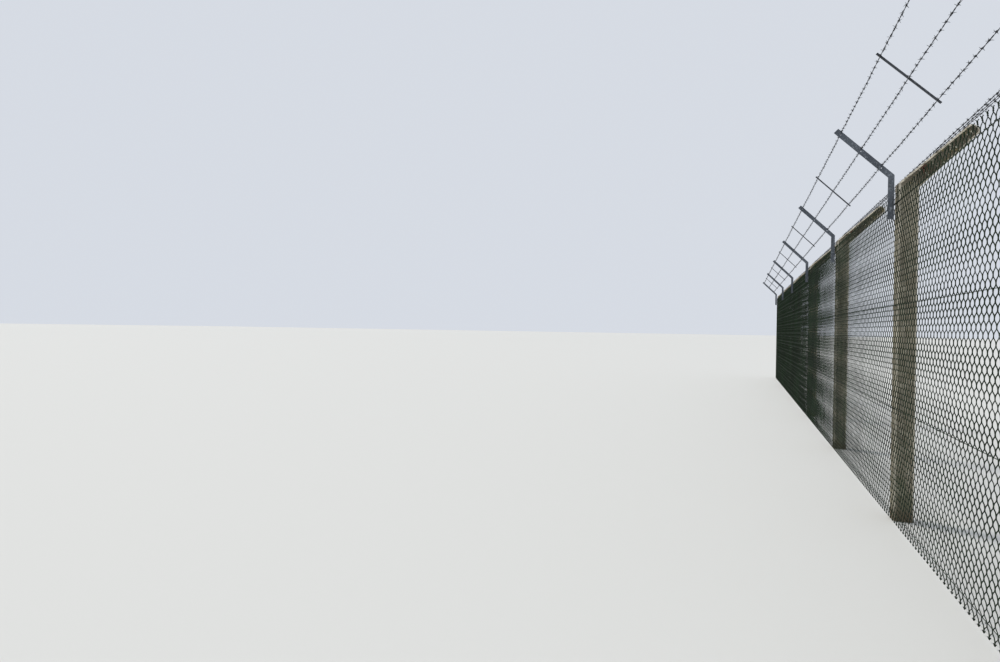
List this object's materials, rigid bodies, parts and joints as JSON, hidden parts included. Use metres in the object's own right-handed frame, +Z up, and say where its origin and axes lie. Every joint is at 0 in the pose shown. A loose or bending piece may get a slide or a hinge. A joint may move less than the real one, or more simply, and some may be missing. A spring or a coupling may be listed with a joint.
{
  "type": "chain-link security fence",
  "caption": "Chain-link security fence on cranked concrete posts, with steel extension arms and barbed strands on both sides of the top.",
  "frame": {"origin": "middle of the flat foot of the centre post, at ground level", "axes": "+X along the fence; +Y to the inside, where the concrete cranks lean; -Y to the outside, where the mesh and the steel arms are; +Z up"},
  "size_m": [18.125, 0.8878, 2.8313],
  "materials": {
    "concrete": "rough weathered concrete with lichen",
    "arm_steel": "dull weathered galvanised steel",
    "mesh_wire": "dark green plastic-coated wire, weathered",
    "line_wire": "dark green plastic-coated wire, weathered",
    "barbed_wire": "dark weathered galvanised strand",
    "dropper_steel": "dark weathered galvanised flat bar"
  },
  "bodies": {
    "root": {"post_1": "concrete", "post_2": "concrete", "post_3": "concrete", "post_4": "concrete", "post_5": "concrete", "post_6": "concrete", "post_7": "concrete", "extension_arm_1": "arm_steel", "extension_arm_2": "arm_steel", "extension_arm_3": "arm_steel", "extension_arm_4": "arm_steel", "extension_arm_5": "arm_steel", "extension_arm_6": "arm_steel", "extension_arm_7": "arm_steel", "chain_link_bay_1": "mesh_wire", "chain_link_bay_2": "mesh_wire", "chain_link_bay_3": "mesh_wire", "chain_link_bay_4": "mesh_wire", "chain_link_bay_5": "mesh_wire", "chain_link_bay_6": "mesh_wire", "dropper_1": "dropper_steel", "dropper_2": "dropper_steel", "dropper_3": "dropper_steel", "dropper_4": "dropper_steel", "dropper_5": "dropper_steel", "dropper_6": "dropper_steel", "line_wire_bottom": "line_wire", "line_wire_lower": "line_wire", "line_wire_upper": "line_wire", "line_wire_top": "line_wire", "inner_barbed_wire_low": "barbed_wire", "inner_barbed_wire_middle": "barbed_wire", "inner_barbed_wire_high": "barbed_wire", "outer_barbed_wire_low": "barbed_wire", "outer_barbed_wire_middle": "barbed_wire", "outer_barbed_wire_high": "barbed_wire"}
  },
  "joints": []
}
